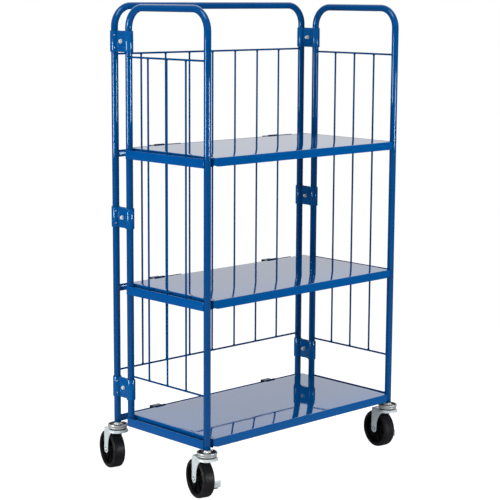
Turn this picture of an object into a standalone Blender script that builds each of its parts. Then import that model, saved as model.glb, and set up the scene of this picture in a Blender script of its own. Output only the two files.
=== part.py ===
"""A three-shelf roll cage container on four swivel casters, in metres, with +Z up.

A back frame and two side frames are upside-down U tubes with welded wire panels and shelf rails.
Three bolted clamps at each rear corner join each side frame to the back frame, and the side frame
turns inside them like a door. Each shelf hinges up at its rear edge. The front faces -Y.
The origin is on the floor, under the middle of the whole object.
"""

import math

import bmesh
import bpy
from mathutils import Matrix, Vector

NAME = "roll_cage"
GAP = 0.0003

# Frame tubes: centre lines of the three U frames.
TUBE_RADIUS = 0.0111
TUBE_BORE = 0.0096
BORE_DEPTH = 0.062
TUBE_RESOLUTION = 4
HALF_WIDTH = 0.4165
BACK_Y = 0.069
FRONT_Y = -0.362
LEG_BOTTOM = 0.163
BACK_TOP = 1.497
SIDE_TOP = 1.492
BEND_RADIUS = 0.065
BEND_STEPS = 7

# Wire panels.
WIRE_RADIUS = 0.0028
WIRE_SIDES = 6
WIRE_OFFSET = 0.002
BACK_WIRE_TOP = 1.3486
BACK_WIRE_BOTTOM = 0.336
BACK_UPRIGHTS = 7
BACK_PITCH = 0.1025
SIDE_WIRE_TOP = 1.3405
SIDE_WIRE_BOTTOM = 0.328
SIDE_UPRIGHTS = 3
SIDE_PITCH = 0.0873

# Shelf rails, angle section. The levels are the undersides of the rails.
LEVELS = {"bottom": 0.164, "middle": 0.594, "top": 1.025}
RAIL_HEIGHT = 0.028
BACK_RAIL_HEIGHT = 0.0225
RAIL_THICK = 0.0025
SIDE_RAIL_OUTER = 0.4304
SIDE_RAIL_REAR = 0.003
SIDE_RAIL_FRONT = -0.360
LEDGE_INNER = 0.3975
LEDGE_REAR = -0.075
BACK_RAIL_FRONT = BACK_Y - 0.004

# Shelves: trays with their lips turned down.
SHELF_THICK = 0.0015
SHELF_HALF_WIDTH = 0.4008
SHELF_FRONT = -0.374
SHELF_REAR = 0.029
SIDE_LIP = 0.0293
FRONT_LIP = 0.028
REAR_LIP = 0.017
LIP_TAPER_START = -0.200
CORNER_CUT = 0.006

# Shelf hinges: eyes on the back rails, and pins under the rear edge of each shelf.
HINGE_Y = 0.0345
HINGE_DROP = 0.002
EYE_RADIUS = 0.005
PIN_RADIUS = 0.0028
PIN_BORE = 0.0032
EYE_STARTS = {"left": -0.2840, "right": 0.2265}
EYE_LENGTH = 0.0385
PIN_REACH = 0.073
HINGE_STRAP = 0.003
LUG_OFFSETS = (0.0445, 0.0955)
LUG_LENGTH = 0.0140

# Corner clamps: two pressed plates and a bolt.
CLAMP_LEVELS = {"lower": 0.283, "middle": 0.836, "upper": 1.388}
CLAMP_HEIGHT = 0.066
CLAMP_INNER = 0.0118
CLAMP_OUTER = 0.0143
CLAMP_FACE = 0.0005
CLAMP_WEB = 0.0030
CLAMP_ARC_STEPS = 6
BOLT_RADIUS = 0.005
BOLT_HOLE = 0.0055
BOLT_HEAD = 0.0085
BOLT_HEAD_HEIGHT = 0.005
NUT_HEIGHT = 0.007

# Casters. The yaws, in degrees, are where the swivels have come to rest.
CASTER_YAWS = {"front_left": -14, "front_right": -9, "rear_left": -14, "rear_right": -10}
WHEEL_RADIUS = 0.0625
WHEEL_HALF_WIDTH = 0.0200
TRAIL = 0.044
FORK_INNER = 0.0208
FORK_OUTER = 0.0230
FORK_TIP = 0.0125
CROWN_BOTTOM = 0.1325
CROWN_TOP = 0.1402
KINGPIN = 0.0060
AXLE_RADIUS = 0.0040
AXLE_HOLE = 0.0043
AXLE_HEAD = 0.0068
WHEEL_SIDES = 24
HEAD_SIDES = 16
LEVER_INNER = 0.0234
LEVER_THICK = 0.0022
LEVER_DROP = 0.0385
LEVER_HALF_WIDTH = 0.0085
PEDAL_TIP = 0.0670
PEDAL_HEIGHT = 0.0220

# Turns a slab whose outline is in XY so that the outline is in YZ and the thickness along X.
ALONG_X = Matrix(((0, 0, 1, 0), (1, 0, 0, 0), (0, 1, 0, 0), (0, 0, 0, 1)))


def clear_scene():
    for obj in list(bpy.data.objects):
        bpy.data.objects.remove(obj, do_unlink=True)


def new_collection(name):
    collection = bpy.data.collections.new(name)
    bpy.context.scene.collection.children.link(collection)
    return collection


def paint(name, colour, roughness, metallic):
    """A Principled material."""
    material = bpy.data.materials.new(name)
    material.use_nodes = True
    shader = material.node_tree.nodes["Principled BSDF"]
    shader.inputs["Base Color"].default_value = (*colour, 1)
    shader.inputs["Roughness"].default_value = roughness
    shader.inputs["Metallic"].default_value = metallic
    material.diffuse_color = (*colour, 1)
    return material


def helper(name, data):
    """An object that only shapes others, kept out of the finished part."""
    obj = bpy.data.objects.new(name, data)
    CUTTERS.objects.link(obj)
    obj.hide_render = True
    obj.display_type = "WIRE"
    return obj


def finished_mesh(obj, name):
    """The mesh of an object with its modifiers applied, its caps welded and its faces outward."""
    graph = bpy.context.evaluated_depsgraph_get()
    mesh = bpy.data.meshes.new_from_object(obj.evaluated_get(graph))
    mesh.name = name
    bm = bmesh.new()
    bm.from_mesh(mesh)
    bmesh.ops.remove_doubles(bm, verts=bm.verts, dist=1e-6)
    bmesh.ops.recalc_face_normals(bm, faces=bm.faces)
    bm.to_mesh(mesh)
    bm.free()
    mesh.materials.clear()
    return mesh


def bmesh_helper(name, build):
    """A helper whose mesh is filled in by build, a function that takes a bmesh."""
    mesh = bpy.data.meshes.new(name)
    bm = bmesh.new()
    build(bm)
    bm.to_mesh(mesh)
    bm.free()
    return helper(name, mesh)


def combined(name, base, joined=(), cut=()):
    """The mesh of base with some helpers united with it and others cut out of it."""
    for operation, others in (("UNION", joined), ("DIFFERENCE", cut)):
        for other in others:
            modifier = base.modifiers.new(other.name, "BOOLEAN")
            modifier.operation = operation
            modifier.object = other
    return finished_mesh(base, name)


def add_box(bm, low, high):
    size = Vector(high) - Vector(low)
    centre = (Vector(high) + Vector(low)) / 2
    bmesh.ops.create_cube(bm, size=1, matrix=Matrix.Translation(centre) @ Matrix.Diagonal((*size, 1)))


def add_rod(bm, start, end, radius, sides):
    start = Vector(start)
    end = Vector(end)
    along = end - start
    turn = along.to_track_quat("Z", "Y").to_matrix().to_4x4()
    bmesh.ops.create_cone(
        bm,
        cap_ends=True,
        segments=sides,
        radius1=radius,
        radius2=radius,
        depth=along.length,
        matrix=Matrix.Translation((start + end) / 2) @ turn,
    )


def box_helper(name, low, high):
    return bmesh_helper(name, lambda bm: add_box(bm, low, high))


def rod_helper(name, start, end, radius, sides):
    return bmesh_helper(name, lambda bm: add_rod(bm, start, end, radius, sides))


def slab(name, outline, thickness):
    """A flat outline in XY, given thickness about z = 0."""
    curve = bpy.data.curves.new(name, "CURVE")
    curve.dimensions = "2D"
    curve.fill_mode = "BOTH"
    curve.extrude = thickness / 2
    spline = curve.splines.new("POLY")
    spline.points.add(len(outline) - 1)
    for point, (x, y) in zip(spline.points, outline):
        point.co = (x, y, 0, 1)
    spline.use_cyclic_u = True
    return helper(name, finished_mesh(helper(name + "_outline", curve), name))


def turned(name, profile, sides):
    """A solid of revolution about Z, from (radius, height) points that run down its outer side."""
    mesh = bpy.data.meshes.new(name + "_profile")
    edges = [(i, i + 1) for i in range(len(profile) - 1)]
    mesh.from_pydata([(radius, 0, height) for radius, height in profile], edges, [])
    obj = helper(name + "_profile", mesh)
    screw = obj.modifiers.new("turn", "SCREW")
    screw.steps = sides
    screw.render_steps = sides
    screw.use_merge_vertices = True
    screw.merge_threshold = 1e-6
    return helper(name, finished_mesh(obj, name))


def arc(centre, radius, first, last, steps):
    """Points on an arc, from one angle to another in degrees. The radius may be a pair, for an ellipse."""
    across, up = radius if isinstance(radius, tuple) else (radius, radius)
    points = []
    for step in range(steps + 1):
        angle = math.radians(first + (last - first) * step / steps)
        points.append((centre[0] + across * math.cos(angle), centre[1] + up * math.sin(angle)))
    return points


def pivot(name, location, parent, turn=0.0):
    """An empty on a joint's axis, which carries what that joint moves."""
    empty = bpy.data.objects.new(name, None)
    PARTS.objects.link(empty)
    empty.location = location
    empty.rotation_euler = (0, 0, turn)
    bpy.context.view_layer.update()
    carry(empty, parent)
    return empty


def carry(obj, parent):
    """Parents an object and leaves it where it is."""
    if parent is None:
        return
    obj.parent = parent
    obj.matrix_parent_inverse = parent.matrix_world.inverted()
    bpy.context.view_layer.update()


def node(name, mesh, material, parent, frame=None):
    """A finished piece. Its mesh is in the part's own frame, or in the frame of a pivot."""
    obj = bpy.data.objects.new(name, mesh)
    PARTS.objects.link(obj)
    if frame is not None:
        obj.matrix_world = frame.matrix_world
        bpy.context.view_layer.update()
    if not mesh.materials:
        mesh.materials.append(material)
    mesh.shade_smooth()
    mesh.set_sharp_from_angle(angle=math.radians(35))
    carry(obj, parent)
    return obj


def u_tube(name, low, high, top, place):
    """An upside-down U with bored legs. place turns (along, height) into a point of the frame."""
    path = [(low, LEG_BOTTOM)]
    path += arc((low + BEND_RADIUS, top - BEND_RADIUS), BEND_RADIUS, 180, 90, BEND_STEPS)
    path += arc((high - BEND_RADIUS, top - BEND_RADIUS), BEND_RADIUS, 90, 0, BEND_STEPS)
    path.append((high, LEG_BOTTOM))
    curve = bpy.data.curves.new(name, "CURVE")
    curve.dimensions = "3D"
    curve.bevel_depth = TUBE_RADIUS
    curve.bevel_resolution = TUBE_RESOLUTION
    curve.use_fill_caps = True
    spline = curve.splines.new("POLY")
    spline.points.add(len(path) - 1)
    for point, (along, height) in zip(spline.points, path):
        point.co = (*place(along, height), 1)
    solid = helper(name + "_solid", finished_mesh(helper(name + "_path", curve), name + "_solid"))
    bores = []
    for leg, along in (("low", low), ("high", high)):
        mouth = place(along, LEG_BOTTOM - 0.005)
        blind = place(along, LEG_BOTTOM + BORE_DEPTH)
        bores.append(rod_helper(f"{name}_bore_{leg}", mouth, blind, TUBE_BORE, 12))
    return combined(name, solid, cut=bores)


def wire_panel(name, ends, heights, uprights, place):
    """Two level wires joined by upright ones. place turns (along, height, offset) into a point."""

    def level_wires(bm):
        for height in heights:
            add_rod(bm, place(ends[0], height, 0), place(ends[1], height, 0), WIRE_RADIUS, WIRE_SIDES)

    def upright_wires(bm):
        for along in uprights:
            foot = place(along, heights[0], WIRE_OFFSET)
            head = place(along, heights[1], WIRE_OFFSET)
            add_rod(bm, foot, head, WIRE_RADIUS, WIRE_SIDES)

    level = bmesh_helper(name + "_level", level_wires)
    upright = bmesh_helper(name + "_upright", upright_wires)
    return combined(name, level, joined=[upright])


def evenly(count, pitch, centre=0.0):
    return [centre + pitch * (i - (count - 1) / 2) for i in range(count)]


def deck_height(level):
    """The top of the shelf that rests on the rail at this level."""
    return LEVELS[level] + RAIL_THICK + GAP + SIDE_LIP


def side_rail(name, side, level):
    """An angle rail outside a side frame. Its ledge points in under the shelf, drilled for the wires."""
    low = LEVELS[level]
    outer = side * SIDE_RAIL_OUTER
    inner = side * (SIDE_RAIL_OUTER - RAIL_THICK)
    wall = box_helper(
        name + "_wall",
        (min(outer, inner), SIDE_RAIL_FRONT, low),
        (max(outer, inner), SIDE_RAIL_REAR, low + RAIL_HEIGHT),
    )
    middle = side * (SIDE_RAIL_OUTER - RAIL_THICK / 2)
    lip = side * LEDGE_INNER
    ledge = box_helper(
        name + "_ledge",
        (min(middle, lip), FRONT_Y + TUBE_RADIUS + GAP, low),
        (max(middle, lip), LEDGE_REAR, low + RAIL_THICK),
    )
    holes = []
    for i, along in enumerate(evenly(SIDE_UPRIGHTS, SIDE_PITCH, FRONT_Y / 2)):
        x = side * (HALF_WIDTH + WIRE_OFFSET)
        ends = ((x, along, low - 0.01), (x, along, low + RAIL_HEIGHT))
        holes.append(rod_helper(f"{name}_wire_hole_{i}", *ends, WIRE_RADIUS + 2 * GAP, WIRE_SIDES))
    return combined(name, wall, joined=[ledge], cut=holes)


def hinge_bracket(name, start, low, axis):
    """A strap bent up from a foot on the back rail and rolled into an eye round the hinge axis."""
    front = BACK_RAIL_FRONT
    inside = front + RAIL_THICK / 2
    leave = math.degrees(math.asin(HINGE_STRAP / EYE_RADIUS))
    outline = arc((HINGE_Y, axis), EYE_RADIUS, 0, 360 - leave, 12)
    outline += [
        (front - HINGE_STRAP, axis - HINGE_STRAP),
        (front - HINGE_STRAP, low + RAIL_HEIGHT / 2),
        (inside, low + RAIL_HEIGHT / 2),
        (inside, axis),
    ]
    bracket = slab(name, outline, EYE_LENGTH)
    bracket.data.transform(ALONG_X)
    bracket.data.transform(Matrix.Translation((start + EYE_LENGTH / 2, 0, 0)))
    return bracket


def back_rail(name, level):
    """A flat rail between the back frame's legs, with the two hinge brackets of its shelf."""
    low = LEVELS[level]
    reach = HALF_WIDTH - TUBE_RADIUS - GAP
    axis = deck_height(level) - HINGE_DROP
    front = BACK_RAIL_FRONT
    bar = box_helper(name + "_bar", (-reach, front, low), (reach, front + RAIL_THICK, low + BACK_RAIL_HEIGHT))
    brackets = []
    bores = []
    for side, start in EYE_STARTS.items():
        brackets.append(hinge_bracket(f"{name}_bracket_{side}", start, low, axis))
        before = (start - 0.01, HINGE_Y, axis)
        after = (start + EYE_LENGTH + 0.01, HINGE_Y, axis)
        bores.append(rod_helper(f"{name}_bore_{side}", before, after, PIN_BORE, 12))
    return combined(name, bar, joined=brackets, cut=bores)


def shelf_tray(name, level):
    """A shelf with lips turned down, shallower towards the rear, and lugs that hold its hinge pins."""
    top = deck_height(level)
    profile = [
        (SHELF_FRONT, top),
        (SHELF_FRONT, top - FRONT_LIP),
        (SHELF_FRONT + SHELF_THICK + CORNER_CUT, top - SIDE_LIP),
        (LIP_TAPER_START, top - SIDE_LIP),
        (SHELF_REAR, top - REAR_LIP),
        (SHELF_REAR, top),
    ]
    body = slab(name + "_body", profile, 2 * SHELF_HALF_WIDTH)
    body.data.transform(ALONG_X)
    inside = box_helper(
        name + "_inside",
        (SHELF_THICK - SHELF_HALF_WIDTH, SHELF_FRONT + SHELF_THICK, top - 0.05),
        (SHELF_HALF_WIDTH - SHELF_THICK, SHELF_REAR - SHELF_THICK, top - SHELF_THICK),
    )
    lugs = []
    for side, start in EYE_STARTS.items():
        for i, offset in enumerate(LUG_OFFSETS):
            low = (start + offset, SHELF_REAR - SHELF_THICK / 2, top - 2 * PIN_RADIUS)
            high = (start + offset + LUG_LENGTH, HINGE_Y - PIN_RADIUS - GAP, top - GAP)
            lugs.append(box_helper(f"{name}_lug_{side}_{i}", low, high))
    return combined(name, body, joined=lugs, cut=[inside])


def hinge_pin(name, start):
    """A straight pin that runs through one hinge eye and on along the shelf's rear edge."""
    end = start + EYE_LENGTH + PIN_REACH
    return finished_mesh(rod_helper(name + "_rod", (start - 0.002, 0, 0), (end, 0, 0), PIN_RADIUS, 12), name)


def clamp_plate(name):
    """A plate pressed into two half channels with a flat web between, outward side towards +X."""
    lip = math.degrees(math.asin(CLAMP_FACE / CLAMP_OUTER))
    root = math.degrees(math.asin(CLAMP_WEB / CLAMP_OUTER))
    inner = math.degrees(math.asin(CLAMP_FACE / CLAMP_INNER))
    back = (0, BACK_Y)
    front = (0, 0)
    outline = arc(back, CLAMP_OUTER, 90 - lip, -90 + root, CLAMP_ARC_STEPS)
    outline += arc(front, CLAMP_OUTER, 90 - root, -90 + lip, CLAMP_ARC_STEPS)
    outline += arc(front, CLAMP_INNER, -90 + inner, 90 - inner, CLAMP_ARC_STEPS)
    outline += arc(back, CLAMP_INNER, -90 + inner, 90 - inner, CLAMP_ARC_STEPS)
    plate = slab(name + "_blank", outline, CLAMP_HEIGHT)
    middle = BACK_Y / 2
    hole = rod_helper(name + "_hole", (-0.01, middle, 0), (0.02, middle, 0), BOLT_HOLE, 12)
    return combined(name, plate, cut=[hole])


def clamp_bolt(name):
    """A hexagon bolt along X with its nut. Its head is on the +X side."""
    seat = CLAMP_WEB + GAP
    shank = rod_helper(name + "_shank", (-seat - NUT_HEIGHT - 0.003, 0, 0), (seat + 0.002, 0, 0), BOLT_RADIUS, 12)
    head = rod_helper(name + "_head", (seat, 0, 0), (seat + BOLT_HEAD_HEIGHT, 0, 0), BOLT_HEAD, 6)
    nut = rod_helper(name + "_nut", (-seat - NUT_HEIGHT, 0, 0), (-seat, 0, 0), BOLT_HEAD, 6)
    return combined(name, shank, joined=[head, nut])


def caster_head(name):
    """The fixed head of a caster: expander plug, stem, nut, dished cup and kingpin."""
    bottom = CROWN_TOP + 0.0034
    profile = [
        (0, 0.2150),
        (0.0088, 0.2150),
        (0.0088, 0.1700),
        (0.0055, 0.1690),
        (0.0055, 0.1600),
        (0.0090, 0.1595),
        (0.0090, 0.1510),
        (0.0262, 0.1505),
        (0.0285, 0.1570),
        (0.0305, 0.1570),
        (0.0320, 0.1550),
        (0.0320, 0.1460),
        (0.0300, bottom),
        (KINGPIN, bottom),
        (KINGPIN, 0.1300),
        (0, 0.1300),
    ]
    return finished_mesh(turned(name + "_turned", profile, HEAD_SIDES), name)


def fork_leg(name):
    """One leg's outline, trail along X and height along Y, with a hollowed front edge and round tip."""
    outline = [(-0.026, 0.1385), (-0.026, 0.1262)]
    outline += arc((-0.012, 0.070), (0.0425, 0.0545), 90, 8, 6)
    outline += arc((TRAIL, WHEEL_RADIUS), FORK_TIP, 180, 360, 8)
    outline += [(TRAIL + FORK_TIP, 0.1290), (TRAIL + 0.004, 0.1385)]
    leg = slab(name, outline, FORK_OUTER - FORK_INNER)
    leg.data.transform(ALONG_X)
    return leg


def caster_fork(name):
    """Two legs under a round crown, with the ball race on top and a bore for the kingpin."""
    middle = (FORK_INNER + FORK_OUTER) / 2
    legs = []
    for side, place in (("left", -middle), ("right", middle)):
        leg = fork_leg(f"{name}_leg_{side}")
        leg.data.transform(Matrix.Translation((place, 0, 0)))
        legs.append(leg)
    race_top = CROWN_TOP + 0.0030
    bore = KINGPIN + 0.0005
    crown = turned(
        name + "_crown",
        [
            (bore, race_top),
            (0.0265, race_top),
            (0.0265, CROWN_TOP),
            (0.0300, CROWN_TOP - 0.0008),
            (0.0300, CROWN_BOTTOM),
            (bore, CROWN_BOTTOM),
            (bore, race_top),
        ],
        HEAD_SIDES,
    )
    heel = box_helper(
        name + "_heel", (-middle, 0.015, CROWN_BOTTOM), (middle, TRAIL + 0.002, CROWN_BOTTOM + 0.0025)
    )
    hole = rod_helper(
        name + "_axle_hole", (-0.03, TRAIL, WHEEL_RADIUS), (0.03, TRAIL, WHEEL_RADIUS), AXLE_HOLE, 12
    )
    return combined(name, crown, joined=[heel, *legs], cut=[hole])


def wheel_axle(name, reach):
    """An axle bolt along X with a head at each end. reach is how far the +X head stands out."""
    seat = FORK_OUTER + GAP
    shank = rod_helper(name + "_shank", (-seat - 0.002, 0, 0), (reach + 0.002, 0, 0), AXLE_RADIUS, 12)
    head = rod_helper(name + "_head", (-seat - 0.0045, 0, 0), (-seat, 0, 0), AXLE_HEAD, 6)
    nut = rod_helper(name + "_nut", (reach, 0, 0), (reach + 0.006, 0, 0), AXLE_HEAD, 6)
    return combined(name, shank, joined=[head, nut])


def caster_wheel(name):
    """A moulded wheel turned about X: round-edged tread, thin web and long hub.

    Its flats, not its corners, touch the wheel's real radius, and one flat lies on the floor.
    """
    rim = WHEEL_RADIUS / math.cos(math.pi / WHEEL_SIDES)
    half = [
        (0.0600, WHEEL_HALF_WIDTH - 0.0020),
        (0.0560, WHEEL_HALF_WIDTH),
        (0.0490, WHEEL_HALF_WIDTH),
        (0.0470, 0.0060),
        (0.0190, 0.0060),
        (0.0160, WHEEL_HALF_WIDTH - 0.0005),
        (AXLE_HOLE, WHEEL_HALF_WIDTH - 0.0005),
    ]
    tread = [(rim, WHEEL_HALF_WIDTH - 0.0063), (rim, 0.0063 - WHEEL_HALF_WIDTH)]
    lower = [(radius, -height) for radius, height in half]
    profile = half[::-1] + tread + lower + [half[-1]]
    wheel = turned(name + "_turned", profile, WHEEL_SIDES)
    wheel.data.transform(Matrix.Rotation(math.pi / WHEEL_SIDES, 4, "Z"))
    wheel.data.transform(Matrix.Rotation(math.radians(90), 4, "Y"))
    return finished_mesh(wheel, name)


def brake_lever(name):
    """A side brake lever: an arm hanging on the axle, its front edge turned out as a foot pedal."""
    arm = slab(
        name + "_arm",
        [
            (-LEVER_HALF_WIDTH, -LEVER_DROP),
            (LEVER_HALF_WIDTH, -LEVER_DROP),
            *arc((0, 0), LEVER_HALF_WIDTH, 0, 180, 8),
        ],
        LEVER_THICK,
    )
    arm.data.transform(ALONG_X)
    arm.data.transform(Matrix.Translation((LEVER_INNER + LEVER_THICK / 2, 0, 0)))
    front = -LEVER_HALF_WIDTH - LEVER_THICK / 2
    pedal = box_helper(
        name + "_pedal",
        (LEVER_INNER + LEVER_THICK / 3, front, -LEVER_DROP - GAP),
        (PEDAL_TIP, front + LEVER_THICK, -LEVER_DROP + PEDAL_HEIGHT),
    )
    hole = rod_helper(name + "_hole", (LEVER_INNER - 0.01, 0, 0), (LEVER_INNER + 0.02, 0, 0), AXLE_HOLE, 12)
    return combined(name, arm, joined=[pedal], cut=[hole])


def build_back_frame(root):
    tube = u_tube("back_tube", -HALF_WIDTH, HALF_WIDTH, BACK_TOP, lambda along, z: (along, BACK_Y, z))
    node("back_tube", tube, FRAME_PAINT, root)
    reach = HALF_WIDTH - TUBE_RADIUS - GAP
    panel = wire_panel(
        "back_wire_panel",
        (-reach, reach),
        (BACK_WIRE_BOTTOM, BACK_WIRE_TOP),
        evenly(BACK_UPRIGHTS, BACK_PITCH),
        lambda along, z, offset: (along, BACK_Y + offset, z),
    )
    node("back_wire_panel", panel, WIRE_PAINT, root)
    for level in LEVELS:
        node(f"back_rail_{level}", back_rail(f"back_rail_{level}", level), RAIL_PAINT, root)


def build_side_frame(name, side, hinge):
    x = side * HALF_WIDTH
    tube = u_tube(f"side_tube_{name}", FRONT_Y, 0, SIDE_TOP, lambda along, z: (x, along, z))
    node(f"side_tube_{name}", tube, FRAME_PAINT, hinge)
    reach = TUBE_RADIUS + GAP
    panel = wire_panel(
        f"side_wire_panel_{name}",
        (FRONT_Y + reach, -reach),
        (SIDE_WIRE_BOTTOM, SIDE_WIRE_TOP),
        evenly(SIDE_UPRIGHTS, SIDE_PITCH, FRONT_Y / 2),
        lambda along, z, offset: (x + side * offset, along, z),
    )
    node(f"side_wire_panel_{name}", panel, WIRE_PAINT, hinge)
    for level in LEVELS:
        rail = side_rail(f"side_rail_{level}_{name}", side, level)
        node(f"side_rail_{level}_{name}", rail, RAIL_PAINT, hinge)


def build_clamps(root, name, side):
    """The clamps stay with the back frame. The side frame's rear leg turns inside them."""
    for level, height in CLAMP_LEVELS.items():
        outward = pivot(f"clamp_{level}_{name}", (side * HALF_WIDTH, 0, height), root)
        turn = Matrix.Identity(4) if side > 0 else Matrix.Diagonal((-1, 1, 1, 1))
        pieces = (
            ("outer", CLAMP_MESH, turn, CLAMP_PAINT),
            ("inner", CLAMP_MESH, Matrix.Diagonal((-1, 1, 1, 1)) @ turn, CLAMP_PAINT),
            ("bolt", BOLT_MESH, Matrix.Translation((0, BACK_Y / 2, 0)) @ turn, ZINC),
        )
        for piece, source, matrix, material in pieces:
            mesh = source.copy()
            mesh.transform(matrix)
            if matrix.determinant() < 0:
                mesh.flip_normals()
            node(f"clamp_{piece}_{level}_{name}", mesh, material, outward, frame=outward)


def build_shelf(level, root):
    hinge = pivot(f"shelf_hinge_{level}", (0, HINGE_Y, deck_height(level) - HINGE_DROP), root)
    node(f"shelf_{level}", shelf_tray(f"shelf_{level}", level), SHELF_PAINT, hinge)
    for side, start in EYE_STARTS.items():
        name = f"hinge_pin_{level}_{side}"
        node(name, hinge_pin(name, start), PIN_PAINT, hinge, frame=hinge)


def build_caster(name, x, y, holder, braked):
    """The head stays with its frame, the fork swivels under it, and wheel and brake turn on the axle."""
    yaw = math.radians(CASTER_YAWS[name])
    swivel = pivot(f"swivel_{name}", (x, y, 0), holder, yaw)
    node(f"caster_head_{name}", HEAD_MESH, HEAD_ZINC, holder, frame=swivel)
    node(f"caster_fork_{name}", FORK_MESH, ZINC, swivel, frame=swivel)
    forward = Matrix.Rotation(yaw, 3, "Z") @ Vector((0, TRAIL, WHEEL_RADIUS))
    axle = pivot(f"axle_{name}", Vector((x, y, 0)) + forward, swivel, yaw)
    axle_mesh = BRAKE_AXLE_MESH if braked else PLAIN_AXLE_MESH
    node(f"wheel_axle_{name}", axle_mesh, BOLT_ZINC, swivel, frame=axle)
    node(f"wheel_{name}", WHEEL_MESH, WHEEL_BLACK, axle, frame=axle)
    if braked:
        node(f"brake_lever_{name}", LEVER_MESH, LEVER_ZINC, axle, frame=axle)


def stand_on_floor(root):
    """Moves everything so that the origin is on the floor under the middle of the whole object."""
    corners = []
    for obj in PARTS.objects:
        if obj.type == "MESH":
            corners += [obj.matrix_world @ vertex.co for vertex in obj.data.vertices]
    low = [min(corner[axis] for corner in corners) for axis in range(3)]
    high = [max(corner[axis] for corner in corners) for axis in range(3)]
    root.location = (-(low[0] + high[0]) / 2, -(low[1] + high[1]) / 2, -low[2])
    bpy.context.view_layer.update()


clear_scene()
PARTS = new_collection(NAME)
CUTTERS = new_collection(NAME + "_cutters")

FRAME_PAINT = paint("frame_paint", (0.006, 0.085, 0.33), 0.18, 0.0)
WIRE_PAINT = paint("wire_paint", (0.006, 0.070, 0.25), 0.25, 0.0)
RAIL_PAINT = paint("rail_paint", (0.006, 0.085, 0.33), 0.25, 0.0)
SHELF_PAINT = paint("shelf_paint", (0.012, 0.076, 0.30), 0.06, 0.0)
CLAMP_PAINT = paint("clamp_paint", (0.006, 0.090, 0.35), 0.2, 0.0)
PIN_PAINT = paint("pin_paint", (0.006, 0.050, 0.18), 0.3, 0.0)
ZINC = paint("zinc", (0.62, 0.65, 0.66), 0.35, 0.9)
HEAD_ZINC = paint("head_zinc", (0.58, 0.60, 0.60), 0.3, 0.9)
BOLT_ZINC = paint("bolt_zinc", (0.70, 0.72, 0.72), 0.3, 0.9)
LEVER_ZINC = paint("lever_zinc", (0.60, 0.64, 0.66), 0.35, 0.9)
WHEEL_BLACK = paint("wheel_black", (0.012, 0.012, 0.014), 0.45, 0.0)

CLAMP_MESH = clamp_plate("clamp_plate")
BOLT_MESH = clamp_bolt("clamp_bolt")
HEAD_MESH = caster_head("caster_head")
FORK_MESH = caster_fork("caster_fork")
WHEEL_MESH = caster_wheel("caster_wheel")
LEVER_MESH = brake_lever("brake_lever")
PLAIN_AXLE_MESH = wheel_axle("plain_axle", FORK_OUTER + GAP)
BRAKE_AXLE_MESH = wheel_axle("brake_axle", LEVER_INNER + LEVER_THICK + GAP)

ROOT = pivot(NAME, (0, 0, 0), None)
build_back_frame(ROOT)
for level_name in LEVELS:
    build_shelf(level_name, ROOT)
for side_name, side_sign in (("left", -1), ("right", 1)):
    side_hinge = pivot(f"side_hinge_{side_name}", (side_sign * HALF_WIDTH, 0, 0), ROOT)
    build_side_frame(side_name, side_sign, side_hinge)
    build_clamps(ROOT, side_name, side_sign)
    build_caster(f"front_{side_name}", side_sign * HALF_WIDTH, FRONT_Y, side_hinge, braked=True)
    build_caster(f"rear_{side_name}", side_sign * HALF_WIDTH, BACK_Y, ROOT, braked=False)
stand_on_floor(ROOT)
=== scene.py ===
"""The looks of the roll cage container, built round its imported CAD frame. Metres, +Z up, front towards -Y."""

import math

import bmesh
import bpy
from mathutils import Matrix, Vector


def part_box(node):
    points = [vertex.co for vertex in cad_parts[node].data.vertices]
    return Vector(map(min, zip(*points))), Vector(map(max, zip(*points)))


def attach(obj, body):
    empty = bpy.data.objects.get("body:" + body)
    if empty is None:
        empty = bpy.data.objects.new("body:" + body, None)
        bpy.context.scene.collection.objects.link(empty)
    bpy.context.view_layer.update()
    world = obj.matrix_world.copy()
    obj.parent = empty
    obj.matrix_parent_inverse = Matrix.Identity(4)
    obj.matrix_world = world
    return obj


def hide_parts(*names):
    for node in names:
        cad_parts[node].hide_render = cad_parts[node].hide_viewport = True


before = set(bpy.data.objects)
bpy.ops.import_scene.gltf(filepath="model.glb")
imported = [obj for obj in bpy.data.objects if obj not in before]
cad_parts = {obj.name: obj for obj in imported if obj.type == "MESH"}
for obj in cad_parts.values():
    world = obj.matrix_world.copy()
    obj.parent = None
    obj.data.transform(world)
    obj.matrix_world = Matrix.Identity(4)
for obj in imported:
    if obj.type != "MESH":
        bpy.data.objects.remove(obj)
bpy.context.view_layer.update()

# The frame's own measurements, counted from the side frames' rear legs, as in the CAD.
TUBE = 0.0111
BORE = 0.0096
HALF_WIDTH = 0.4165
BACK_Y = 0.069
FRONT_Y = -0.362
LEG_BOTTOM = 0.163
BACK_TOP = 1.497
SIDE_TOP = 1.492
BEND = 0.065
WIRE = 0.0031
WIRE_OFFSET = 0.002
BACK_WIRES = (0.336, 1.3486)
SIDE_WIRES = (0.328, 1.3405)
LEVELS = {"bottom": 0.164, "middle": 0.594, "top": 1.025}
RAIL_HEIGHT = 0.028
BACK_RAIL_HEIGHT = 0.0225
RAIL_THICK = 0.0025
SIDE_RAIL_OUTER = 0.4304
SIDE_RAIL_ENDS = (-0.360, 0.003)
LEDGE_INNER = 0.3975
LEDGE_REAR = -0.075
BACK_RAIL_FRONT = BACK_Y - 0.004
DECK_RISE = 0.0321
SHELF_HALF = 0.4008
SHELF_FRONT = -0.374
SHELF_REAR = 0.029
SHEET = 0.0015
SIDE_LIP = 0.0293
FRONT_LIP = 0.0283
REAR_LIP = 0.0170
LIP_TAPER_START = -0.2
HINGE_Y = 0.0345
HINGE_RISE = DECK_RISE - 0.002
EYE_STARTS = {"left": -0.2840, "right": 0.2265}
EYE_LENGTH = 0.0385
LUG_OFFSETS = (0.0445, 0.0955)
LUG_LENGTH = 0.014
PIN_RADIUS = 0.0027
PIN_REACH = 0.073
CLAMPS = {"lower": 0.283, "middle": 0.836, "upper": 1.388}
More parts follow.
